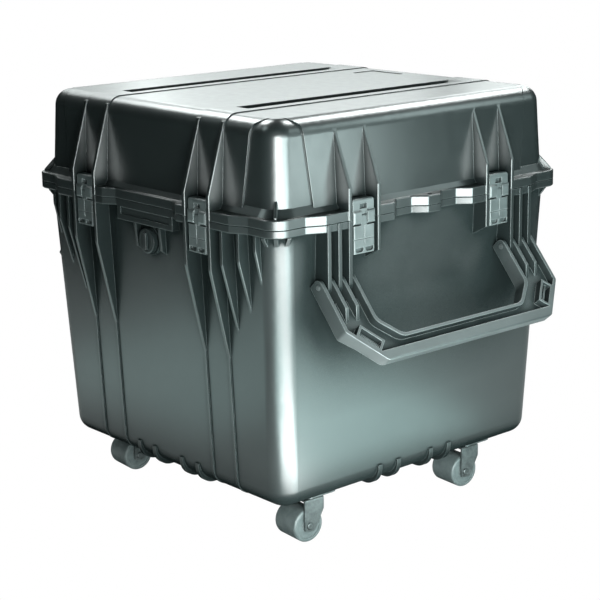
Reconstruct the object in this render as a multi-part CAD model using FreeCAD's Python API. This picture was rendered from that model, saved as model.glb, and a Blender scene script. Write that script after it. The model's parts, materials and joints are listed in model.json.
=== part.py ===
import FreeCAD, Part
import math
import os
from FreeCAD import Vector

# Protective hard case on casters: a moulded tub, a lift-off lid with a seal,
# eight double throw latches, two bail handles, four swivel casters and a purge valve.
# Millimetres, +Z up. The model is drawn about the parting plane (z = 0) and every
# piece is lifted at export, so that the casters stand on z = 0.

# Shell
wall_half = 312.0            # half width of the walls at the parting line
wall = 6.0                   # moulded wall
corner_radius = 36.0         # plan radius of the walls at the parting line
corner_shrink = 2.0          # loss of plan radius over the draft
base_depth = 459.0           # parting line to the underside
base_draft = 20.5            # inset of the walls at the underside
base_round = 30.0            # rounding of the lower edge
lid_height = 160.0           # parting line to the lid's top
lid_draft = 8.0              # inset of the lid's walls at the top
lid_round = 28.0             # rounding of the lid's top edge
lid_gap = 0.4                # open parting line
panel_rise = 3.0             # side panels stand proud of the lid's corner columns
panel_low = 231.0            # half width of a side panel at the rim
panel_high = 249.0           # half width of a side panel under the top rounding
panel_flare = 264.0          # half width where the panel runs out over the top

# Rim flanges
rim_half = 337.0             # half width across the rim at the latch bays
lid_flange = 16.0
base_flange = 12.0
rim_corner_half = 323.0      # half width of the rim round the corners
rim_corner_radius = 32.0
rim_ramp_out = 232.0         # the bay pads start to run back to the corner here
rim_ramp_in = 262.0
rim_break = 4.0              # rounding of the rim's facets
rim_chamfer = 1.5
line_chamfer = 0.7           # edge break at the parting line
foot_rise = 12.0             # sloped foot of the lid's walls on the flange
foot_inset = 2.0             # its lower edge, in from the guard recesses
guard_half = 319.0           # recesses either side of the padlock guard
guard_steps = (14.0, 34.0, 68.0, 88.0)
plate_half = 325.0           # recess over the name plate apron
plate_steps = (78.0, 100.0)

# Latch bays and ribs
bay_centre = 153.4
bay_half = 30.4              # bay centre to the middle of a rib
bay_depth = 320.0            # rim between the two ribs of a bay
rib = 7.0                    # rib thickness
rib_half = 338.5             # ribs stand just proud of the rim
rib_edge = 1.6               # rounding of a rib's outer edges
gusset_side = (135.0, 50.0)  # handle sides: top of the gusset, foot of its slope
gusset_front = (150.0, 38.0)  # front and back
rib_bend = 78.0              # front ribs: full depth down to here
rib_run_out = 224.0          # and down to a low rib here
low_rib = 2.6
short_rib = 54.0             # ribs beside the latches on the handle sides
fin_offsets = (209.0, 243.0, 272.0)
fin_lengths = (180.0, 140.0, 90.0)
fin_bends = (66.0, 57.0, 38.0)  # full depth down to here
fin = 6.0
corner_gussets = (18.0, 45.0, 72.0)
corner_gusset_drop = 28.0
corner_fin = 5.0             # fin on the lid's flange at each corner
corner_fin_top = 40.0
corner_fin_foot = 19.0
corner_fin_inset = 3.0

# Lid top
band_rise = 1.6              # raised band between the two rib lines
groove_width = 30.0
groove_depth = 7.0
groove_half = 218.0
groove_ramp = 26.0
groove_wall = 4.0            # plastic left under and beside a groove
recess_size = (84.0, 52.0)
recess_centre = (-36.0, 235.0)
recess_depth = 1.4

# Underside
lug_offsets = (38.0, 81.0)
lug_width = 9.0
lug_drop = 8.0
lug_reach = 60.0

# Name plate apron and purge valve
apron_half = 75.0
apron_drop = 34.0
apron_border = 9.0
apron_recess = 1.6
valve_z = -61.0
valve_boss = 1.6             # flat boss that the valve seats on, proud of the wall
valve_radius = 21.0
valve_bore = 10.0
valve_guard = 33.0
valve_guard_half = 21.0
gasket = 1.4
bezel_height = 8.0
bezel_floor = 3.0
bezel_lip = 5.0
knob_side = 0.6              # gap between knob and bezel
knob_bar = 8.0
knob_bar_rise = 4.0
valve_wall = 4.0             # wall of the threaded spigot
nut_thick = 6.0
nut_rim = 6.0
spigot_end = 3.0             # spigot stands out past the nut
spigot_cap = 2.0             # closed end of the spigot
running = 0.05               # running clearance, on radius

# Seal
seal_offset = 0.5            # middle of the seal groove, out from the walls
seal_width = 6.0
seal_depth = 6.0
seal_height = 3.0
seal_side = 0.3
seat_gap = 0.3

# Padlock holes through the guards
padlock_radius = 4.0
padlock_half = 326.0

# Latch
latch_half = 22.0
latch_back = 320.4
latch_front = 334.5
hook_top = 31.0
hook_low = 11.0
knuckle_half = 24.0
knuckle_front = 338.0
knuckle_top = 13.0
knuckle_low = -9.0
knuckle_round = 5.0
lever_eye = 5.8
lever_pin = (331.0, 2.0)
lever_pin_radius = 2.0
lever_top = -10.6
lever_low = -54.0
lever_back = 327.6
lever_front = 336.6
lever_lip = 2.0
lever_cup = (17.0, 7.0, 5.0)  # width, height and depth of a finger cup
lever_cup_round = 4.5
clasp_back = 321.0
clasp_plate = 5.0
latch_pin = (325.0, -47.0)
latch_pin_radius = 2.5
latch_eye_radius = 5.5
pin_inset = 1.0              # pin ends lie inside the ribs
slot_size = (15.0, 8.0, 7.0)

# Handles
handle_pin = (327.0, -97.0)
handle_pin_radius = 4.0
handle_angle = 50.0          # arms hang this far below level
finger_pitch = 21.8
finger = 6.0
finger_wall = 8.0            # plastic round the pin at the end of a finger
handle_front = 10.0
handle_heel = 10.5
grip_back = 12.0
arm_end = 83.0
grip_inner = 107.0
grip_outer = 143.0
grip_half = 187.0
grip_window_half = 135.0
arm_window_end = 73.0
finger_slot = 46.0           # slots between the fingers end in a point here
finger_taper = 18.0
web_face = -4.0              # web between the flanges of the handle
handle_flange = 6.0
grip_lip = 5.0
grip_bar = 17.0
rib_fade = 64.0              # middle fingers run out on the web here
window_size = (38.0, 15.0)
window_inset = 17.0
window_frame = 4.0
window_rib = 3.2
pin_end = 1.2

# Casters
caster_height = 80.0
caster_at = (234.0, 183.5)
caster_trail = 22.5
caster_toe = -5.0
wheel_radius = 28.5
wheel_width = 55.0
bush_radius = 7.0
axle_radius = 4.0
cheek = 3.0
cheek_gap = 0.8
fork_top = 74.0
cheek_half = 10.0            # cheek either side of the axle
cheek_step = 20.0            # square part of the cheek under the top
fork_heel = 6.0              # fork behind the kingpin
plate_size = (70.0, 60.0, 3.0)
plate_holes = (27.0, 22.0)
race_radius = 21.0
kingpin_radius = 5.0
kingpin_head = 9.0
screw_radius = 2.4
screw_head = 4.6
screw_cover = 1.5            # floor left closed over the screw ends

part_z = caster_height + base_depth
valve_face = wall_half + valve_boss
seal_half = wall_half + seal_offset
seal_radius = corner_radius - wall + seal_width / 2
sides = {"right": 0, "back": 90, "left": 180, "front": 270}
handle_sides = ("right", "left")
rib_offsets = (bay_centre - bay_half, bay_centre + bay_half)
bays = {"1": -bay_centre, "2": bay_centre}


def base_wall(z):
    return wall_half + base_draft * z / base_depth


# The heels of the arms stop against the wall, so the arms are as deep as that leaves room for
def handle_depth():
    swing = math.radians(handle_angle)
    room = handle_pin[0] - handle_heel * math.cos(swing) - base_wall(handle_pin[1]) - seat_gap
    return room / math.sin(swing)


def rounded_wire(points, radii):
    if not isinstance(radii, (list, tuple)):
        radii = [radii] * len(points)
    corners = [Vector(x, y, 0) for x, y in points]
    starts, mids, ends = [], [], []
    for i, corner in enumerate(corners):
        back = (corners[i - 1] - corner).normalize()
        ahead = (corners[(i + 1) % len(corners)] - corner).normalize()
        half_angle = back.getAngle(ahead) / 2
        radius = radii[i]
        if radius == 0 or abs(half_angle - math.pi / 2) < 1e-6:
            starts.append(corner)
            mids.append(None)
            ends.append(corner)
            continue
        run = radius / math.tan(half_angle)
        inward = (back + ahead).normalize()
        starts.append(corner + back * run)
        ends.append(corner + ahead * run)
        mids.append(corner + inward * (radius / math.sin(half_angle) - radius))
    edges = []
    for i in range(len(corners)):
        if mids[i] is not None:
            edges.append(Part.Arc(starts[i], mids[i], ends[i]).toShape())
        following = starts[(i + 1) % len(corners)]
        if ends[i].distanceToPoint(following) > 1e-6:
            edges.append(Part.makeLine(ends[i], following))
    return Part.Wire(edges)


def plan_prism(points, radii, z_low, z_high):
    face = Part.Face(rounded_wire(points, radii))
    face.translate(Vector(0, 0, z_low))
    return face.extrude(Vector(0, 0, z_high - z_low))


def side_prism(points, radii, middle, thick):
    face = Part.Face(rounded_wire(points, radii))
    face.rotate(Vector(0, 0, 0), Vector(1, 0, 0), 90)
    face.translate(Vector(0, middle - thick / 2, 0))
    return face.extrude(Vector(0, thick, 0))


def box(x, y, z):
    return Part.makeBox(x[1] - x[0], y[1] - y[0], z[1] - z[0], Vector(x[0], y[0], z[0]))


def rod(radius, start, end):
    path = end - start
    return Part.makeCylinder(radius, path.Length, start, path)


def turned(shape, angle):
    copy = shape.copy()
    copy.rotate(Vector(0, 0, 0), Vector(0, 0, 1), angle)
    return copy


def moved(shape, x, y, z):
    copy = shape.copy()
    copy.translate(Vector(x, y, z))
    return copy


def level_edges(shape, z):
    return [e for e in shape.Edges if all(abs(v.Z - z) < 1e-5 for v in e.Vertexes)]


def square(half, radius, z):
    wire = rounded_wire([(half, -half), (half, half), (-half, half), (-half, -half)], radius)
    wire.translate(Vector(0, 0, z))
    return wire


# Distance from the middle of a rounded square to its corner, along the diagonal
def corner_reach(half, radius):
    return math.sqrt(2) * half - (math.sqrt(2) - 1) * radius


def drafted_block(z_wide, half_wide, radius_wide, z_far, half_far, radius_far, edge_round):
    block = Part.makeLoft([square(half_wide, radius_wide, z_wide),
                           square(half_far, radius_far, z_far)], True, True)
    return block.makeFillet(edge_round, level_edges(block, z_far))


def base_block(grow, drop):
    return drafted_block(0, wall_half + grow, corner_radius + grow,
                         -base_depth - drop, wall_half - base_draft + grow,
                         corner_radius - corner_shrink + grow, base_round + grow)


def lid_block(grow, rise):
    return drafted_block(lid_gap, wall_half + grow, corner_radius + grow,
                         lid_height + rise, wall_half - lid_draft + grow,
                         corner_radius - corner_shrink + grow, lid_round + rise)


def rim_side(steps, depths):
    half = []
    for step, depth in zip(steps, depths):
        half.append((depth, step))
    bay_low, bay_high = rib_offsets[0] + rib / 2, rib_offsets[1] - rib / 2
    half += [(rim_half, bay_low), (bay_depth, bay_low), (bay_depth, bay_high),
             (rim_half, bay_high), (rim_half, rim_ramp_out), (rim_corner_half, rim_ramp_in)]
    return [(d, -u) for d, u in reversed(half)] + half


def rim_outline():
    guard = rim_side(guard_steps, (rim_half, guard_half, guard_half, rim_half))
    plate = rim_side(plate_steps, (plate_half, rim_half))
    points, radii = [], []
    for name, angle in sides.items():
        c, s = math.cos(math.radians(angle)), math.sin(math.radians(angle))
        side = guard if name in handle_sides else plate
        points += [(d * c - u * s, d * s + u * c) for d, u in side]
        radii += [rim_break] * len(side)
        points.append((rim_corner_half * (c - s), rim_corner_half * (s + c)))
        radii.append(rim_corner_radius - rim_break)
    return points, radii


def rim(z_line, z_far):
    points, radii = rim_outline()
    plate = plan_prism(points, radii, min(z_line, z_far), max(z_line, z_far))
    plate = plate.makeChamfer(rim_chamfer, level_edges(plate, z_far))
    return plate.makeChamfer(line_chamfer, level_edges(plate, z_line))


def outer_rounded(shape, middle, thick, segments, radius):
    chosen = []
    for edge in shape.Edges:
        ends = [v.Point for v in edge.Vertexes]
        if len(ends) < 2 or abs(ends[0].y - ends[1].y) > 1e-6:
            continue
        centre = (ends[0] + ends[1]) * 0.5
        for (x0, z0), (x1, z1) in segments:
            if abs(centre.x - (x0 + x1) / 2) < 1e-4 and abs(centre.z - (z0 + z1) / 2) < 1e-4:
                chosen.append(edge)
    return shape.makeFillet(radius, chosen) if chosen else shape


def rib_solid(profile, outer, middle, thick):
    segments = [(profile[i], profile[i + 1]) for i in outer]
    solid = side_prism(profile, 0, middle, thick)
    return outer_rounded(solid, middle, thick, segments, rib_edge)


def both(offsets):
    return [-v for v in offsets] + list(offsets)


def all_sides(shapes, names):
    return [turned(s, sides[n]) for n in names for s in shapes]


def lid_ribs(gusset, names):
    top, foot = gusset
    inside = wall_half - lid_draft - wall
    top_depth = wall_half - lid_draft * top / lid_height
    profile = [(inside, lid_gap), (rib_half, lid_gap), (rib_half, foot),
               (top_depth, top), (inside, top)]
    return all_sides([rib_solid(profile, (1, 2), u, rib) for u in both(rib_offsets)], names)


# The foot is left out of the latch bays, where the clasps swing.
def lid_foot():
    low, high = guard_half - foot_inset, wall_half - panel_rise - 1
    grow = corner_radius - wall_half
    foot = Part.makeLoft([square(low, low + grow, lid_flange - 1),
                          square(high, high + grow, lid_flange + foot_rise)], True, True)
    bays = [box((s * bay_centre - bay_half, s * bay_centre + bay_half), (-rim_half, wall - wall_half),
                (lid_flange - 2, lid_flange + 2 * foot_rise)) for s in (-1, 1)]
    return foot.cut(all_sides(bays, sides))


def lid_shell():
    corner = lid_block(-panel_rise, 0)
    zone = [(-panel_low, 0), (panel_low, 0), (panel_high, lid_height - lid_round / 3),
            (panel_flare, lid_height), (panel_flare, lid_height + lid_round),
            (-panel_flare, lid_height + lid_round), (-panel_flare, lid_height),
            (-panel_high, lid_height - lid_round / 3)]
    across = side_prism(zone, 0, 0, 4 * wall_half)
    panels = lid_block(0, 0).common(across.fuse(turned(across, 90)))
    band_low, band_high = rib_offsets[0] - rib / 2, rib_offsets[1] + rib / 2
    strips = [box((s * band_low, s * band_high) if s > 0 else (s * band_high, s * band_low),
                  (-2 * wall_half, 2 * wall_half), (lid_gap, 2 * lid_height)) for s in (-1, 1)]
    bands = [lid_block(band_rise, band_rise).common(strip) for strip in strips]
    pieces = [panels, rim(lid_gap, lid_flange), lid_foot()] + bands
    pieces += lid_ribs(gusset_side, handle_sides) + lid_ribs(gusset_front, ("front", "back"))
    tip = corner_reach(rim_corner_half, rim_corner_radius) - corner_fin_inset
    foot = corner_reach(wall_half - panel_rise, corner_radius - panel_rise)
    root = foot - 0.8 * wall
    profile = [(root, lid_gap), (tip, lid_gap), (tip, corner_fin_foot),
               (foot - 2, corner_fin_top), (root, corner_fin_top)]
    corner_rib = rib_solid(profile, (1, 2), 0, corner_fin)
    pieces += [turned(corner_rib, 45 + a) for a in sides.values()]
    shell = corner.fuse(pieces)
    cavity = drafted_block(lid_gap - 1, wall_half - panel_rise - wall, corner_radius - wall,
                           lid_height - wall, wall_half - lid_draft - panel_rise - wall,
                           corner_radius - corner_shrink - wall, lid_round - wall)
    top = lid_height + band_rise
    for s in (-1, 1):
        side = groove_width / 2 + groove_wall
        cavity = cavity.cut(box((s * bay_centre - side, s * bay_centre + side),
                                (-groove_half - groove_ramp, groove_half + groove_ramp),
                                (top - groove_depth - groove_wall, lid_height)))
    ramp = [(-groove_half - groove_ramp, top + 1), (-groove_half, top - groove_depth),
            (groove_half, top - groove_depth), (groove_half + groove_ramp, top + 1)]
    groove = turned(side_prism(ramp, 0, 0, groove_width), 90)
    cuts = [cavity, seal_ring(seal_width, lid_gap - 1, lid_gap + seal_depth)]
    cuts += [moved(groove, s * bay_centre, 0, 0) for s in (-1, 1)]
    sx, sy = recess_size
    recess = [(-sx / 2, -sy / 2), (sx / 2, -sy / 2), (sx / 2, sy / 2), (-sx / 2, sy / 2)]
    cuts.append(moved(plan_prism(recess, 6, lid_height - recess_depth, lid_height + 5),
                      recess_centre[0], recess_centre[1], 0))
    cuts += padlock_holes()
    return shell.cut(cuts).removeSplitter()


def padlock_holes():
    return [rod(padlock_radius, Vector(s * padlock_half, 0, -2 * base_flange),
                Vector(s * padlock_half, 0, 2 * lid_flange)) for s in (-1, 1)]


def seal_ring(width, z_low, z_high):
    solids = []
    for grow in (width / 2, -width / 2):
        face = Part.Face(square(seal_half + grow, seal_radius + grow, z_low))
        solids.append(face.extrude(Vector(0, 0, z_high - z_low)))
    return solids[0].cut(solids[1])


def base_ribs():
    inside = wall_half - base_draft - wall
    front_profile = [(inside, 0), (rib_half, 0), (rib_half - 1, -rib_bend),
                     (base_wall(-rib_run_out) + low_rib, -rib_run_out), (inside, -rib_run_out)]
    front = [rib_solid(front_profile, (1, 2), u, rib) for u in both(rib_offsets)]
    for offset, length, bend in zip(fin_offsets, fin_lengths, fin_bends):
        ramp = (offset - rim_ramp_out) / (rim_ramp_in - rim_ramp_out)
        head = rim_half - 2 * rim_chamfer - max(0, min(1, ramp)) * (rim_half - rim_corner_half)
        profile = [(inside, -1), (head, -1), (head, -bend),
                   (base_wall(-length), -length), (inside, -length)]
        front += [rib_solid(profile, (2,), u, fin) for u in (-offset, offset)]
    pieces = all_sides(front, ("front", "back"))
    short = [(inside, 0), (rib_half, 0), (rib_half, -short_rib),
             (base_wall(-short_rib), -short_rib - 15), (inside, -short_rib - 15)]
    side = [rib_solid(short, (1,), u, rib) for u in both(rib_offsets[:1])]
    x, z = handle_pin
    foot = rib_half - x
    carrier = [(inside, 0), (rib_half, 0), (rib_half, z - foot), (inside, z - foot - 10)]
    segment = [((rib_half, 0), (rib_half, z))]
    for u in both(carrier_offsets()):
        solid = side_prism(carrier, [0, 0, foot, 0], u, rib)
        side.append(outer_rounded(solid, u, rib, segment, rib_edge))
    return pieces + all_sides(side, handle_sides)


def carrier_offsets():
    return [rib_offsets[1] + i * finger_pitch for i in range(3)]


def finger_offsets():
    return [rib_offsets[1] + (i - 0.5) * finger_pitch for i in range(4)]


def base_corner_gussets():
    pieces = []
    centre = wall_half - corner_radius
    depth = rim_corner_half - centre
    profile = [(corner_radius - wall, 0), (depth - 3, 0), (depth - 3, -base_flange - 3),
               (corner_radius - 1.5, -corner_gusset_drop), (corner_radius - wall, -corner_gusset_drop)]
    gusset = side_prism(profile, 0, 0, fin)
    for angle in corner_gussets:
        piece = moved(turned(gusset, angle), centre, centre, 0)
        pieces += [turned(piece, a) for a in sides.values()]
    return pieces


def base_shell():
    pieces = [rim(0, -base_flange)] + base_ribs() + base_corner_gussets()
    grown = base_block(low_rib, 0.5)
    low = [grown.common(box((wall_half - 80, wall_half + 40), (u - rib / 3, u + rib / 3),
                            (-base_depth - 5, -rib_run_out + 20))) for u in both(rib_offsets)]
    dropped = base_block(low_rib, lug_drop)
    flat_edge = wall_half - base_draft
    lugs = [dropped.common(box((flat_edge - lug_reach, flat_edge + 40),
                               (u - lug_width / 2, u + lug_width / 2),
                               (-base_depth - 2 * lug_drop, -base_depth + base_round)))
            for u in both(lug_offsets)]
    pieces += all_sides(low, ("front", "back")) + all_sides(lugs, sides)
    inside = wall_half - wall
    apron = box((inside, plate_half), (-apron_half, apron_half), (-apron_drop, -base_flange / 2))
    panel = box((plate_half - apron_recess, plate_half + 5),
                (apron_border - apron_half, apron_half - apron_border),
                (apron_border - apron_drop, -base_flange - 1))
    pieces += all_sides([apron.cut(panel)], ("front", "back"))
    boss = rod(valve_radius + 3, Vector(inside, 0, valve_z), Vector(valve_face, 0, valve_z))
    low, high = valve_z - valve_guard_half, valve_z + valve_guard_half + 6
    guard = [(inside, low), (plate_half - 8, low + 8), (plate_half - 4, high), (inside, high)]
    valve_parts = [boss] + [side_prism(guard, 0, u, fin) for u in (-valve_guard, valve_guard)]
    pieces += all_sides(valve_parts, ("front",))
    tub = base_block(0, 0).fuse(pieces)
    cavity = drafted_block(1, wall_half - wall, corner_radius - wall,
                           -base_depth + wall, wall_half - base_draft - wall,
                           corner_radius - corner_shrink - wall, base_round - wall)
    tub = tub.cut(cavity)
    pad = rod(valve_radius - 2, Vector(valve_nut_face(), 0, valve_z), Vector(inside, 0, valve_z))
    tongue = seal_ring(seal_width / 2, -1, lid_gap + seal_depth - seal_height - seat_gap)
    tub = tub.fuse(all_sides([pad], ("front",)) + [tongue])
    holes = all_sides([rod(valve_bore, Vector(inside - 30, 0, valve_z),
                           Vector(valve_face + 5, 0, valve_z))], ("front",))
    holes += padlock_holes()
    holes += all_sides(latch_rods(), sides) + all_sides(handle_rods(0), handle_sides)
    for x, y in caster_places():
        for hx in (-plate_holes[0], plate_holes[0]):
            for hy in (-plate_holes[1], plate_holes[1]):
                at = Vector(x + hx, y + hy, -base_depth - 1)
                holes.append(rod(screw_radius, at, at + Vector(0, 0, 1 + wall - screw_cover)))
    return tub.cut(holes).removeSplitter()


def valve_nut_face():
    return base_wall(valve_z) - wall - 3.5


def latch_rods():
    x, z = latch_pin
    half = bay_half + rib / 2 - pin_inset
    return [rod(latch_pin_radius, Vector(x, u - half, z), Vector(x, u + half, z))
            for u in bays.values()]


def handle_rods(grow):
    x, z = handle_pin
    first, last = finger_offsets()[0] - finger / 2 - grow, finger_offsets()[-1] + finger / 2 + grow
    return [rod(handle_pin_radius, Vector(x, s * first, z), Vector(x, s * last, z))
            for s in (-1, 1)]


def latch_clasp():
    hook = box((latch_back, latch_front), (-latch_half, latch_half), (hook_low - 4, hook_top))
    top = [e for e in level_edges(hook, hook_top) if abs(e.CenterOfMass.x - latch_back) > 1]
    hook = hook.makeFillet(4.5, top)
    sx, sz, depth = slot_size
    slot = box((latch_front - depth, latch_front + 5), (-sx / 2, sx / 2), (hook_low + 4, hook_low + 4 + sz))
    hook = hook.cut(slot)
    block = box((clasp_back, knuckle_front), (-knuckle_half, knuckle_half), (knuckle_low, knuckle_top))
    front = [e for e in block.Edges if abs(e.CenterOfMass.x - knuckle_front) < 1e-5]
    block = block.makeFillet(knuckle_round, front)
    gap = box((lever_back - 3, knuckle_front + 5), (-lever_eye - 0.4, lever_eye + 0.4),
              (knuckle_low - 1, knuckle_top + 1))
    block = block.cut(gap)
    x, z = latch_pin
    plate = box((clasp_back, clasp_back + clasp_plate), (-latch_half, latch_half), (z, hook_low))
    eye = rod(latch_eye_radius, Vector(x, -latch_half, z), Vector(x, latch_half, z))
    clasp = plate.fuse([hook, block, eye])
    bore = rod(latch_pin_radius + running, Vector(x, -2 * latch_half, z), Vector(x, 2 * latch_half, z))
    px, pz = lever_pin
    pin_hole = rod(lever_pin_radius, Vector(px, -2 * latch_half, pz), Vector(px, 2 * latch_half, pz))
    return clasp.cut([bore, pin_hole]).removeSplitter()


def latch_lever_pin():
    px, pz = lever_pin
    half = knuckle_half - 1
    return rod(lever_pin_radius, Vector(px, -half, pz), Vector(px, half, pz))


def latch_lever():
    px, pz = lever_pin
    x, z = latch_pin
    eye_radius = px - lever_back + 1.5
    eye = rod(eye_radius, Vector(px, -lever_eye, pz), Vector(px, lever_eye, pz))
    neck = box((px - eye_radius + 1.5, px + eye_radius), (-lever_eye, lever_eye), (lever_top - 2, pz))
    plate = box((lever_back, lever_front), (-latch_half, latch_half), (lever_low, lever_top))
    corners = [e for e in plate.Edges if abs(e.CenterOfMass.z - (lever_low + lever_top) / 2) < 1e-5
               and e.CenterOfMass.x > lever_back + 1]
    plate = plate.makeFillet(2.5, corners)
    split = box((lever_front - 1.2, lever_front + 1), (-0.7, 0.7), (lever_low + 14, lever_top + 1))
    step = box((lever_front - 1.4, lever_front + 1), (-latch_half - 1, latch_half + 1),
               (lever_low + 21.5, lever_low + 23))
    cups = []
    cup_width, cup_height, cup_depth = lever_cup
    for s in (-1, 1):
        middle, low = s * (latch_half / 2 - 0.5), lever_low + lever_lip
        cup = box((lever_front - cup_depth, lever_front + 1),
                  (middle - cup_width / 2, middle + cup_width / 2), (low, low + cup_height))
        ends = [e for e in level_edges(cup, low) if abs(e.CenterOfMass.y - middle) > cup_width / 2 - 0.1]
        cups.append(cup.makeFillet(lever_cup_round, ends))
    relief = rod(latch_eye_radius + 0.8, Vector(x, -2 * latch_half, z), Vector(x, 2 * latch_half, z))
    lever = plate.fuse([eye, neck]).cut([split, step, relief] + cups)
    bore = rod(lever_pin_radius + running, Vector(px, -2 * latch_half, pz), Vector(px, 2 * latch_half, pz))
    return lever.cut(bore).removeSplitter()


def handle():
    outer_face = finger_offsets()[-1] + finger / 2
    inner_face = finger_offsets()[0] - finger / 2
    top = handle_pin_radius + finger_wall
    profile = [(-top, handle_front), (grip_outer, handle_front), (grip_outer, -grip_back),
               (grip_inner, -grip_back), (arm_end, -handle_depth()), (-handle_heel, -handle_depth())]
    body = side_prism(profile, [handle_front - 0.5, 3, 6, 3, 12, 0], 0, 2 * outer_face)
    plan_outer = [(-30, -outer_face), (arm_end, -outer_face), (grip_outer, -grip_half),
                  (grip_outer, grip_half), (arm_end, outer_face), (-30, outer_face)]
    plan_inner = [(-60, -inner_face), (arm_window_end, -inner_face), (grip_inner, -grip_window_half),
                  (grip_inner, grip_window_half), (arm_window_end, inner_face), (-60, inner_face)]
    ring = plan_prism(plan_outer, [0, 8, 12, 12, 8, 0], -60, 60)
    ring = ring.cut(plan_prism(plan_inner, [0, 20, 24, 24, 20, 0], -70, 70))
    body = body.common(ring)
    run = Vector(grip_outer - arm_end, grip_half - outer_face, 0).normalize()
    inward = Vector(run.y, -run.x, 0)
    edge = Vector(arm_end, outer_face, 0) + inward * handle_flange
    lip, bed, start = grip_inner + grip_lip, grip_outer - grip_bar, finger_slot - finger_taper
    rim_in, rim_out = inner_face + handle_flange, outer_face - handle_flange
    bend = edge.x + run.x * (rim_out - edge.y) / run.y
    end = edge.y + run.y * (bed - edge.x) / run.x
    half = [(start, rim_out), (bend, rim_out), (bed, end)]
    inner = [(lip, grip_window_half + 3), (arm_window_end + 3, rim_in), (start, rim_in)]
    web = [(x, -y) for x, y in half] + [(x, y) for x, y in reversed(half)]
    web += [(x, y) for x, y in reversed(inner)] + [(x, -y) for x, y in inner]
    body = body.cut(plan_prism(web, [0, 4, 8, 8, 4, 0, 0, 20, 24, 24, 20, 0], web_face, 40))
    angle = math.degrees(math.atan2(run.y, run.x))
    length, width = window_size
    middle = Vector((arm_end + grip_outer) / 2, (outer_face + grip_half) / 2, 0) + inward * window_inset
    frame_x, frame_y = length / 2 + window_frame, width / 2 + window_frame
    frame = box((-frame_x, frame_x), (-frame_y, frame_y), (web_face - 1, handle_front))
    fade = [(start - 1, web_face - 1), (start - 1, handle_front), (finger_slot, handle_front),
            (rib_fade, web_face), (rib_fade, web_face - 1)]
    added, cuts = [], []
    for s in (-1, 1):
        added.append(moved(turned(frame, s * angle), middle.x, s * middle.y, 0))
        added += [side_prism(fade, 0, s * u, finger) for u in finger_offsets()[1:3]]
        for u, v in zip(finger_offsets()[:-1], finger_offsets()[1:]):
            near, far = s * (u + finger / 2), s * (v - finger / 2)
            slot = [(-40, near), (finger_slot - finger_taper, near), (finger_slot, far), (-40, far)]
            cuts.append(plan_prism(slot, 0, -60, 60))
        pocket = box((-length / 2, length / 2), (-width / 2, width / 2), (-handle_depth() + 6, 40))
        pocket = pocket.cut(box((-length / 2, length / 2), (-window_rib / 2, window_rib / 2),
                                (-60, handle_front - 5)))
        cuts.append(moved(turned(pocket, s * angle), middle.x, s * middle.y, 0))
    body = body.fuse([piece.common(ring) for piece in added])
    cuts.append(rod(handle_pin_radius + running, Vector(0, -2 * outer_face, 0),
                    Vector(0, 2 * outer_face, 0)))
    body = body.cut(cuts).removeSplitter()
    body.rotate(Vector(0, 0, 0), Vector(0, 1, 0), handle_angle)
    body.translate(Vector(handle_pin[0], 0, handle_pin[1]))
    return body


def caster_places():
    x, y = caster_at
    return [(x, -y), (x, y), (-x, -y), (-x, y)]


def caster_plate():
    length, width, thick = plate_size
    low = caster_height - thick
    outline = [(-length / 2, -width / 2), (length / 2, -width / 2), (length / 2, width / 2),
               (-length / 2, width / 2)]
    plate = plan_prism(outline, 8, low, caster_height)
    race = Part.makeCylinder(race_radius, low - fork_top - seat_gap, Vector(0, 0, fork_top + seat_gap))
    race = race.makeFillet(2.5, [e for e in level_edges(race, fork_top + seat_gap) if e.Length > 60])
    holes = [rod(kingpin_radius, Vector(0, 0, 0), Vector(0, 0, 2 * caster_height))]
    for hx in (-plate_holes[0], plate_holes[0]):
        for hy in (-plate_holes[1], plate_holes[1]):
            holes.append(rod(screw_radius, Vector(hx, hy, 0), Vector(hx, hy, 2 * caster_height)))
    return plate.fuse(race).cut(holes).removeSplitter()


def caster_kingpin():
    under = fork_top - cheek - seat_gap
    stud = rod(kingpin_radius, Vector(0, 0, under - 3), Vector(0, 0, caster_height))
    return stud.fuse(rod(kingpin_head, Vector(0, 0, under - 3), Vector(0, 0, under))).removeSplitter()


def caster_screws():
    low = caster_height - plate_size[2]
    screw_end = caster_height + wall - screw_cover - seat_gap
    screws = []
    for hx in (-plate_holes[0], plate_holes[0]):
        for hy in (-plate_holes[1], plate_holes[1]):
            shank = rod(screw_radius, Vector(hx, hy, low - 1), Vector(hx, hy, screw_end))
            head = rod(screw_head, Vector(hx, hy, low - 2.6), Vector(hx, hy, low))
            head = head.makeFillet(1.2, [e for e in level_edges(head, low - 2.6)])
            screws.append(shank.fuse(head).removeSplitter())
    return screws


def wheel_centre():
    return Vector(0, -caster_trail, wheel_radius)


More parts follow.
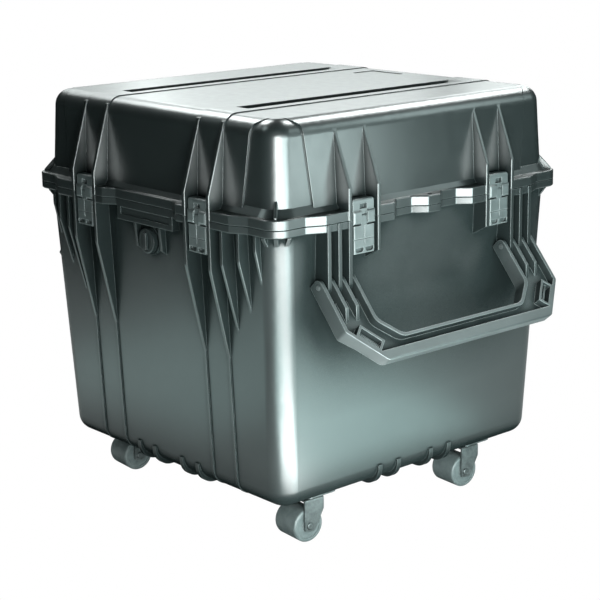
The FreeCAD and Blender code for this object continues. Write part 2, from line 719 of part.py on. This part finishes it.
def caster_fork():
    inner = wheel_width / 2 + cheek_gap
    outer = inner + cheek
    c = wheel_centre()
    front, back = c.y - cheek_half, fork_heel
    web = box((-outer, outer), (front, back), (fork_top - cheek, fork_top))
    cup = rod(race_radius - 0.5, Vector(0, 0, fork_top - cheek), Vector(0, 0, fork_top))
    low = c.z - cheek_half
    shape = [(back, fork_top), (back, fork_top - cheek_step), (c.y + cheek_half, low),
             (front, low), (front, fork_top)]
    side = Part.Face(rounded_wire(shape, [0, 4, 8, 8, 0]))
    side.rotate(Vector(0, 0, 0), Vector(1, 0, 0), 90)
    side.rotate(Vector(0, 0, 0), Vector(0, 0, 1), 90)
    cheeks = []
    for start in (inner, -outer):
        plate = side.copy()
        plate.translate(Vector(start, 0, 0))
        cheeks.append(plate.extrude(Vector(cheek, 0, 0)))
    fork = web.fuse([cup] + cheeks)
    bends = [e for e in level_edges(fork, fork_top) if abs(abs(e.CenterOfMass.x) - outer) < 1e-4]
    fork = fork.makeFillet(cheek - 0.6, bends)
    holes = [rod(kingpin_radius + running, Vector(0, 0, 0), Vector(0, 0, 2 * fork_top)),
             rod(axle_radius, Vector(-2 * outer, c.y, c.z), Vector(2 * outer, c.y, c.z))]
    return fork.cut(holes).removeSplitter()


def caster_axle():
    outer = wheel_width / 2 + cheek_gap + cheek
    c = wheel_centre()
    axle = rod(axle_radius, Vector(-outer, c.y, c.z), Vector(outer, c.y, c.z))
    heads = []
    for s in (-1, 1):
        head = rod(axle_radius + 2, Vector(s * outer, c.y, c.z), Vector(s * (outer + 2.4), c.y, c.z))
        rim_edge = [e for e in head.Edges if abs(e.CenterOfMass.x) > outer + 2 and e.Length > 10]
        heads.append(head.makeFillet(1.8, rim_edge))
    return axle.fuse(heads).removeSplitter()


def caster_wheel():
    half = wheel_width / 2
    c = wheel_centre()
    wheel = rod(wheel_radius, Vector(-half, c.y, c.z), Vector(half, c.y, c.z))
    wheel = wheel.makeFillet(3.5, [e for e in wheel.Edges if e.Curve.TypeId == "Part::GeomCircle"])
    cuts = [rod(bush_radius, Vector(-2 * half, c.y, c.z), Vector(2 * half, c.y, c.z))]
    for s in (-1, 1):
        ring = rod(wheel_radius - 6, Vector(s * (half - 2), c.y, c.z), Vector(s * 2 * half, c.y, c.z))
        hub = rod(bush_radius + 4, Vector(s * (half - 3), c.y, c.z), Vector(s * 3 * half, c.y, c.z))
        cuts.append(ring.cut(hub))
    return wheel.cut(cuts).removeSplitter()


def wheel_bush():
    half = wheel_width / 2 + cheek_gap - seat_gap
    c = wheel_centre()
    bush = rod(bush_radius, Vector(-half, c.y, c.z), Vector(half, c.y, c.z))
    return bush.cut(rod(axle_radius + running, Vector(-2 * half, c.y, c.z), Vector(2 * half, c.y, c.z)))


def placed_caster(shape, place):
    return moved(turned(shape, caster_toe), place[0], place[1], -part_z)


def valve_rod(radius, start, end):
    return rod(radius, Vector(start, 0, valve_z), Vector(end, 0, valve_z))


def valve_pieces():
    seat = valve_face + gasket
    top = seat + bezel_height
    nut_face = valve_nut_face()
    end = nut_face - nut_thick - spigot_end
    bezel = valve_rod(valve_radius, seat, top)
    rim_edge = [e for e in bezel.Edges if abs(e.CenterOfMass.x - top) < 1e-4 and e.Length > 60]
    bezel = bezel.makeFillet(2.0, rim_edge)
    bezel = bezel.fuse(valve_rod(valve_bore - running, end, seat))
    stem = valve_bore - valve_wall
    bezel = bezel.cut([valve_rod(valve_radius - bezel_lip, seat + bezel_floor, top + 10),
                       valve_rod(stem + running, end + spigot_cap, top + 10)])
    knob = valve_rod(valve_radius - bezel_lip - knob_side, seat + bezel_floor + seat_gap, top)
    reach = valve_radius - bezel_lip - 2
    bar = box((top - 1, top + knob_bar_rise), (-knob_bar / 2, knob_bar / 2),
              (valve_z - reach, valve_z + reach))
    bar = bar.makeFillet(1.5, [e for e in bar.Edges if e.CenterOfMass.x > top + knob_bar_rise - 0.1])
    knob = knob.fuse([bar, valve_rod(stem, end + spigot_cap + seat_gap, top - 1)])
    washer = valve_rod(valve_radius - 1, valve_face, seat).cut(
        valve_rod(valve_bore, valve_face - 1, seat + 1))
    flats = 2 * math.pi / 6
    across = valve_bore + nut_rim
    hexagon = [(across * math.cos(i * flats), across * math.sin(i * flats)) for i in range(6)]
    nut = plan_prism(hexagon, 0, 0, nut_thick)
    nut.rotate(Vector(0, 0, 0), Vector(0, 1, 0), 90)
    nut = moved(nut, nut_face - nut_thick, 0, valve_z)
    nut = nut.cut(valve_rod(valve_bore - running, nut_face - 2 * nut_thick, nut_face + nut_thick))
    return {"valve_bezel": bezel.removeSplitter(), "valve_knob": knob.removeSplitter(),
            "valve_gasket": washer, "valve_nut": nut}


def save(name, shape):
    solids = shape if isinstance(shape, list) else [shape]
    lifted = [moved(s, 0, 0, part_z) for s in solids]
    whole = lifted[0] if len(lifted) == 1 else Part.makeCompound(lifted)
    whole.exportStep("parts/" + name + ".step")
    count = sum(len(s.Solids) for s in lifted)
    print(name, count, "solids", "valid" if whole.isValid() else "INVALID", round(whole.Volume))


def main():
    os.makedirs("parts", exist_ok=True)
    save("base_shell", base_shell())
    save("lid_shell", lid_shell())
    seal_top = lid_gap + seal_depth
    save("lid_seal", seal_ring(seal_width - 2 * seal_side, seal_top - seal_height, seal_top))
    save("latch_pins", all_sides(latch_rods(), sides))
    clasp, lever, pin = latch_clasp(), latch_lever(), latch_lever_pin()
    for side, angle in sides.items():
        for bay, u in bays.items():
            for word, shape in (("latch_clasp", clasp), ("latch_lever", lever), ("lever_pin", pin)):
                save("%s_%s_%s" % (word, side, bay), turned(moved(shape, 0, u, 0), angle))
    bail = handle()
    for side in handle_sides:
        save("handle_" + side, turned(bail, sides[side]))
    save("handle_pins", all_sides(handle_rods(pin_end), handle_sides))
    corners = dict(zip(("front_right", "back_right", "front_left", "back_left"), caster_places()))
    plate, king, screws = caster_plate(), caster_kingpin(), caster_screws()
    save("caster_plates", [moved(plate, x, y, -part_z) for x, y in corners.values()])
    save("caster_kingpins", [moved(king, x, y, -part_z) for x, y in corners.values()])
    save("caster_screws", [moved(s, x, y, -part_z) for x, y in corners.values() for s in screws])
    moving = {"caster_fork": caster_fork(), "caster_axle": caster_axle(),
              "caster_wheel": caster_wheel(), "wheel_bush": wheel_bush()}
    for corner, place in corners.items():
        for word, shape in moving.items():
            save(word + "_" + corner, placed_caster(shape, place))
    for name, shape in valve_pieces().items():
        save(name, turned(shape, sides["front"]))


main()
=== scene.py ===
import json
import math

import bmesh
import bpy
from mathutils import Matrix, Vector

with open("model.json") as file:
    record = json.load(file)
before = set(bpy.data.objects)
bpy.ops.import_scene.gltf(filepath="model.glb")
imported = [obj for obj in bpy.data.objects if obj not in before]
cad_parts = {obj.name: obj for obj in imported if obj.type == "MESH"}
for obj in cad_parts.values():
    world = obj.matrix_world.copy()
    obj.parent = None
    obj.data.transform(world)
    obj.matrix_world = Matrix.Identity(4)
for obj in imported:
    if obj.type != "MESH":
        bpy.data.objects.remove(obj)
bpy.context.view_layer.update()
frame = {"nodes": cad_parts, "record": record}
print("frame loaded", len(frame["nodes"]), "nodes")


def newMaterial(name):
    material = bpy.data.materials.new(name)
    material.use_nodes = True
    tree = material.node_tree
    tree.nodes.clear()
    out = tree.nodes.new("ShaderNodeOutputMaterial")
    shader = tree.nodes.new("ShaderNodeBsdfPrincipled")
    tree.links.new(shader.outputs["BSDF"], out.inputs["Surface"])
    return material, tree, shader


def objectCoords(tree):
    return tree.nodes.new("ShaderNodeTexCoord").outputs["Object"]


def noiseNode(tree, coords, scale, detail, rough):
    node = tree.nodes.new("ShaderNodeTexNoise")
    node.inputs["Scale"].default_value = scale
    node.inputs["Detail"].default_value = detail
    node.inputs["Roughness"].default_value = rough
    tree.links.new(coords, node.inputs["Vector"])
    return node.outputs["Fac"]


# Blend from one colour to another over a band of the factor
def bandNode(tree, factor, band, dark, light):
    node = tree.nodes.new("ShaderNodeValToRGB")
    for element, place, colour in zip(node.color_ramp.elements, band, (dark, light)):
        element.position = place
        element.color = (*colour, 1)
    tree.links.new(factor, node.inputs["Fac"])
    return node.outputs["Color"]


def rangeNode(tree, value, fromRange, toRange):
    node = tree.nodes.new("ShaderNodeMapRange")
    node.clamp = True
    for name, number in zip(("From Min", "From Max", "To Min", "To Max"), (*fromRange, *toRange)):
        node.inputs[name].default_value = number
    tree.links.new(value, node.inputs["Value"])
    return node.outputs["Result"]


def productNode(tree, a, b):
    node = tree.nodes.new("ShaderNodeMath")
    node.operation = "MULTIPLY"
    tree.links.new(a, node.inputs[0])
    tree.links.new(b, node.inputs[1])
    return node.outputs[0]


# Lay a plain colour over a painted one
def overlayNode(tree, factor, under, colour):
    node = tree.nodes.new("ShaderNodeMix")
    node.data_type = "RGBA"
    tree.links.new(factor, node.inputs["Factor"])
    tree.links.new(under, node.inputs["A"])
    node.inputs["B"].default_value = (*colour, 1)
    return node.outputs["Result"]


def bumpNode(tree, height, strength, depth):
    node = tree.nodes.new("ShaderNodeBump")
    node.inputs["Strength"].default_value = strength
    node.inputs["Distance"].default_value = depth
    tree.links.new(height, node.inputs["Height"])
    return node


# Pale edges, partly rubbed wear and partly a painted highlight: where the rounded normal leaves the face's
# own, in patches
def wornAndHighlitEdges(tree, coords, rounded, look):
    face = tree.nodes.new("ShaderNodeNewGeometry").outputs["Normal"]
    turn = tree.nodes.new("ShaderNodeVectorMath")
    turn.operation = "DOT_PRODUCT"
    tree.links.new(rounded, turn.inputs[0])
    tree.links.new(face, turn.inputs[1])
    edge = rangeNode(tree, turn.outputs["Value"], look["edgeTurn"], (0, 1))
    patches = noiseNode(tree, coords, look["wearScale"], detail=4, rough=0.6)
    patch = rangeNode(tree, patches, look["wearBand"], (look["wearAndHighlight"] * look["wearLeast"], look["wearAndHighlight"]))
    return productNode(tree, edge, patch)


# Moulded plastic: uneven tone, fine grain, pale edges that are partly rubbed wear and partly painted
# highlight, and painted shade: gloss that falls with ambient occlusion, so recesses render darker
def mouldedPlastic(name, look):
    material, tree, shader = newMaterial(name)
    coords = objectCoords(tree)
    rounding = tree.nodes.new("ShaderNodeBevel")
    rounding.samples = look["edgeSamples"]
    rounding.inputs["Radius"].default_value = look["edge"]
    rounded = rounding.outputs["Normal"]

    tone = noiseNode(tree, coords, look["toneScale"], detail=6, rough=0.6)
    colour = bandNode(tree, tone, look["band"], look["dark"], look["light"])
    # Pale edges over the tone: partly rubbed wear, partly a painted highlight
    wornAndHighlit = wornAndHighlitEdges(tree, coords, rounded, look)
    tree.links.new(overlayNode(tree, wornAndHighlit, colour, look["wornAndHighlitColour"]), shader.inputs["Base Color"])

    gloss = noiseNode(tree, coords, look["glossScale"], detail=5, rough=0.55)
    tree.links.new(rangeNode(tree, gloss, look["band"], look["roughness"]), shader.inputs["Roughness"])

    grain = noiseNode(tree, coords, look["grainScale"], detail=2, rough=0.5)
    bump = bumpNode(tree, grain, look["grain"], look["grainDepth"])
    tree.links.new(rounded, bump.inputs["Normal"])
    tree.links.new(bump.outputs["Normal"], shader.inputs["Normal"])

    # Painted shade: the gloss falls with ambient occlusion, so recesses, creases and the wall behind the
    # handle render darker
    shade = tree.nodes.new("ShaderNodeAmbientOcclusion")
    shade.samples = look["recessSamples"]
    shade.inputs["Distance"].default_value = look["recess"]
    sheen = rangeNode(tree, shade.outputs["AO"], look["shadeBand"], look["sheen"])
    tree.links.new(sheen, shader.inputs["Specular IOR Level"])
    shader.inputs["IOR"].default_value = look["ior"]
    return material


# Zinc plated pressings and steel pins: brushed streaks and duller spots
def platedMetal(name, look):
    material, tree, shader = newMaterial(name)
    coords = objectCoords(tree)
    spots = noiseNode(tree, coords, look["spotScale"], detail=6, rough=0.65)
    colour = bandNode(tree, spots, look["spotBand"], look["dark"], look["light"])
    tree.links.new(colour, shader.inputs["Base Color"])

    stretch = tree.nodes.new("ShaderNodeMapping")
    stretch.inputs["Scale"].default_value = look["streak"]
    tree.links.new(coords, stretch.inputs["Vector"])
    streaks = noiseNode(tree, stretch.outputs["Vector"], scale=1, detail=3, rough=0.5)
    roughness = rangeNode(tree, streaks, look["streakBand"], look["roughness"])
    tree.links.new(roughness, shader.inputs["Roughness"])
    bump = bumpNode(tree, streaks, look["brushing"], look["brushDepth"])
    tree.links.new(bump.outputs["Normal"], shader.inputs["Normal"])
    shader.inputs["Metallic"].default_value = look["metallic"]
    return material


# Lengths are in metres and scales are per metre
shellLook = {
    "dark": (0.0115, 0.0158, 0.0158), "light": (0.0189, 0.0242, 0.0242), "toneScale": 5.0,
    "band": (0.3, 0.7),                                    # noise from dark to light and from glossy to dull
    "roughness": (0.29, 0.33), "glossScale": 60.0, "ior": 1.68,
    "grain": 0.05, "grainScale": 700.0, "grainDepth": 0.0003,
    "edge": 0.0016, "edgeSamples": 6,                      # radius that edges are shaded with
    "edgeTurn": (0.999, 0.86),                             # cosine of the turn, from bare to a full pale edge
    "wornAndHighlitColour": (0.126, 0.147, 0.147), "wearAndHighlight": 0.55,
    "wearLeast": 0.35, "wearScale": 24.0, "wearBand": (0.3, 0.6),   # pale edges in patches, down to a least share
    "recess": 0.16, "recessSamples": 16,                   # how far the painted shade reaches
    "shadeBand": (0.72, 0.97), "sheen": (0.0, 1.0)}           # openness that sets the painted shade, and the gloss it gives from shut to open
lidLook = dict(shellLook, recess=0.03, shadeBand=(0.35, 0.8))
latchLook = dict(
    shellLook, dark=(0.0462, 0.0567, 0.0567), light=(0.0882, 0.105, 0.105), toneScale=30.0,
    roughness=(0.34, 0.44), edge=0.0012, wornAndHighlitColour=(0.336, 0.367, 0.367), wearAndHighlight=0.9,
    recess=0.05, shadeBand=(0.5, 0.95), sheen=(0.1, 1.0))
handleLook = dict(
    shellLook, dark=(0.022, 0.028, 0.028), light=(0.040, 0.049, 0.049), toneScale=16.0,
    roughness=(0.34, 0.44), edge=0.0018, wornAndHighlitColour=(0.26, 0.29, 0.29), wearAndHighlight=0.9,
    recess=0.06, shadeBand=(0.6, 0.97))
valveLook = dict(shellLook, toneScale=40.0, edge=0.001, wearAndHighlight=0.6)
sealLook = dict(
    shellLook, dark=(0.0063, 0.0063, 0.0063), light=(0.0126, 0.0126, 0.0126),
    roughness=(0.6, 0.75), wearAndHighlight=0.0)
wheelLook = dict(
    shellLook, dark=(0.0945, 0.116, 0.116), light=(0.158, 0.185, 0.185), toneScale=60.0,
    roughness=(0.4, 0.5), edge=0.001, wornAndHighlitColour=(0.336, 0.367, 0.367), wearAndHighlight=0.5,
    recess=0.08, shadeBand=(0.5, 0.95))
zincLook = {
    "dark": (0.105, 0.118, 0.118), "light": (0.21, 0.231, 0.231), "spotScale": 70.0, "spotBand": (0.35, 0.65),
    "roughness": (0.34, 0.5), "metallic": 0.85,
    "streak": (60, 60, 900), "streakBand": (0.3, 0.7), "brushing": 0.12, "brushDepth": 0.0002}
steelLook = dict(zincLook, dark=(0.21, 0.231, 0.231), light=(0.378, 0.399, 0.399), roughness=(0.24, 0.38))

materials = {
    "shell": mouldedPlastic("shellPlastic", shellLook),
    "lid": mouldedPlastic("lidPlastic", lidLook),
    "latch": mouldedPlastic("latchPlastic", latchLook),
    "handle": mouldedPlastic("handlePlastic", handleLook),
    "valve": mouldedPlastic("valvePlastic", valveLook),
    "seal": mouldedPlastic("sealRubber", sealLook),
    "wheel": mouldedPlastic("wheelPlastic", wheelLook),
    "zinc": platedMetal("zincPressing", zincLook),
    "steel": platedMetal("pinSteel", steelLook),
    "bush": platedMetal("bushSteel", steelLook)}

# Each node takes its slot's material, and the lid's shell takes its own
for part in frame["record"]["subparts"]:
    slot = "lid" if part["node"] == "lid_shell" else part["material_slot"]
    skin = frame["nodes"][part["node"]].data.materials
    skin.clear()
    skin.append(materials[slot])
print("materials done")

floorLook = {
    "radius": 1.8, "segments": 96, "roughness": 0.9,
    "dark": (0.38, 0.39, 0.39), "light": (0.42, 0.43, 0.43), "toneScale": 0.7, "band": (0.3, 0.7)}


# A round floor, painted pale grey, and plain white where the camera sees it
def stageFloor(look):
    mesh = bpy.data.meshes.new("floor")
    form = bmesh.new()
    bmesh.ops.create_circle(form, cap_ends=True, segments=look["segments"], radius=look["radius"])
    form.to_mesh(mesh)
    form.free()

    material, tree, shader = newMaterial("floorPaint")
    tone = noiseNode(tree, objectCoords(tree), look["toneScale"], detail=2, rough=0.5)
    colour = bandNode(tree, tone, look["band"], look["dark"], look["light"])
    tree.links.new(colour, shader.inputs["Base Color"])
    shader.inputs["Roughness"].default_value = look["roughness"]
    white = tree.nodes.new("ShaderNodeEmission")
    path = tree.nodes.new("ShaderNodeLightPath")
    mix = tree.nodes.new("ShaderNodeMixShader")
    tree.links.new(path.outputs["Is Camera Ray"], mix.inputs["Fac"])
    tree.links.new(shader.outputs["BSDF"], mix.inputs[1])
    tree.links.new(white.outputs["Emission"], mix.inputs[2])
    tree.links.new(mix.outputs["Shader"], tree.nodes["Material Output"].inputs["Surface"])

    mesh.materials.append(material)
    floor = bpy.data.objects.new("floor", mesh)
    bpy.context.scene.collection.objects.link(floor)


# The world is white where the camera sees it and dark elsewhere
def whiteWorld():
    world = bpy.data.worlds.new("studio")
    world.use_nodes = True
    tree = world.node_tree
    tree.nodes.clear()
    out = tree.nodes.new("ShaderNodeOutputWorld")
    white = tree.nodes.new("ShaderNodeBackground")
    white.inputs["Color"].default_value = (1, 1, 1, 1)
    path = tree.nodes.new("ShaderNodeLightPath")
    tree.links.new(path.outputs["Is Camera Ray"], white.inputs["Strength"])
    tree.links.new(white.outputs["Background"], out.inputs["Surface"])
    bpy.context.scene.world = world


stageFloor(floorLook)
whiteWorld()
print("stage done")

lampAim = Vector((0, 0, 0.4))       # a little above the middle of the case
panelHeight = 0.01                  # panels lie just above the floor


# A lamp with an even face: glow sets how bright the face is, whatever its size
def areaLamp(name, size, glow, colour):
    light = bpy.data.lights.new(name, "AREA")
    light.shape = "RECTANGLE"
    light.size, light.size_y = size
    light.energy = glow * math.pi * size[0] * size[1]
    light.color = colour
    lamp = bpy.data.objects.new(name, light)
    lamp.visible_camera = False
    bpy.context.scene.collection.objects.link(lamp)
    return lamp


# Azimuth 0 is the handle side, -90 the front
def softbox(name, azimuth, elevation, distance, size, glow, colour):
    lamp = areaLamp(name, size, glow, colour)
    turn, rise = math.radians(azimuth), math.radians(elevation)
    away = Vector((math.cos(turn) * math.cos(rise), math.sin(turn) * math.cos(rise), math.sin(rise)))
    lamp.location = lampAim + away * distance
    lamp.rotation_euler = (-away).to_track_quat("-Z", "Y").to_euler()


def floorPanel(name, place, size, glow, colour):
    lamp = areaLamp(name, size, glow, colour)
    lamp.location = (*place, panelHeight)
    lamp.rotation_euler = (math.pi, 0, 0)


pale, cool, deep = (0.93, 1, 0.99), (0.80, 1, 0.99), (0.64, 1, 0.97)

# Low lamps behind, for the top of the lid
backRow = {"elevation": 25, "distance": 2.6, "size": (1.0, 0.8), "colour": pale}
softbox("backSoftbox", azimuth=140, glow=3.87, **backRow)
softbox("backLeft", azimuth=160, glow=2.46, **backRow)
softbox("backRight", azimuth=115, glow=4.75, **backRow)

# High lamps on the left, behind and on the front left
highRow = {"elevation": 52, "distance": 2.6, "size": (1.0, 1.0), "colour": pale}
softbox("leftHigh", azimuth=180, glow=12.5, **highRow)
softbox("backHigh", azimuth=90, glow=15, **highRow)
softbox("frontHigh", azimuth=235, elevation=45, distance=2.6, size=(0.8, 0.6), glow=3, colour=cool)

# Lamps at the height of the tub, for the near corner and the handle side
sideRow = {"elevation": -3, "distance": 1.6, "size": (0.6, 0.8)}
softbox("cornerSoftbox", azimuth=-43, glow=6.5, colour=pale, **sideRow)
softbox("frontSoftbox", azimuth=-24, glow=8, colour=pale, **sideRow)
softbox("sideSoftbox", azimuth=-5, glow=10, colour=cool, **sideRow)
softbox("wideSoftbox", azimuth=14, glow=1.85, colour=cool, **sideRow)

# Lamps for the lid's corner and its handle side
softbox("lidCorner", azimuth=-35, elevation=9, distance=1.6, size=(0.6, 0.35), glow=13.5, colour=pale)
softbox("lidSoftbox", azimuth=14, elevation=12, distance=0.87, size=(0.2, 0.2), glow=5.25, colour=cool)
softbox("rightSoftbox", azimuth=40, elevation=30, distance=1.6, size=(0.5, 0.5), glow=3, colour=cool)

# Panels on the floor, for the lower walls
floorPanel("rightPanel", place=(0.75, -0.35), size=(0.55, 0.55), glow=9.5, colour=pale)
floorPanel("sidePanel", place=(0.75, 0.08), size=(0.55, 0.6), glow=2.1, colour=deep)
floorPanel("nearPanel", place=(0.75, -0.75), size=(0.55, 0.55), glow=3.2, colour=deep)
floorPanel("frontPanel", place=(-0.5, -0.8), size=(0.65, 0.55), glow=0.65, colour=deep)
print("lights done")

# Camera at the photograph's angle: its place, its right and up directions and its lens
shot = {
    "place": (2.12436, -1.84667, 1.03893), "right": (0.66023, 0.75091, -0.01489),
    "up": (-0.17612, 0.17406, 0.96886), "lens": 98.3, "sensor": 36.0}
camera = bpy.data.objects.new("camera", bpy.data.cameras.new("camera"))
camera.data.lens = shot["lens"]
camera.data.sensor_width = shot["sensor"]
right, up = Vector(shot["right"]).normalized(), Vector(shot["up"]).normalized()
facing = Matrix((right, up, right.cross(up))).transposed()
camera.matrix_world = Matrix.Translation(shot["place"]) @ facing.to_4x4()
bpy.context.scene.collection.objects.link(camera)
bpy.context.scene.camera = camera
bpy.context.scene.view_settings.view_transform = "Standard"

print("camera done")
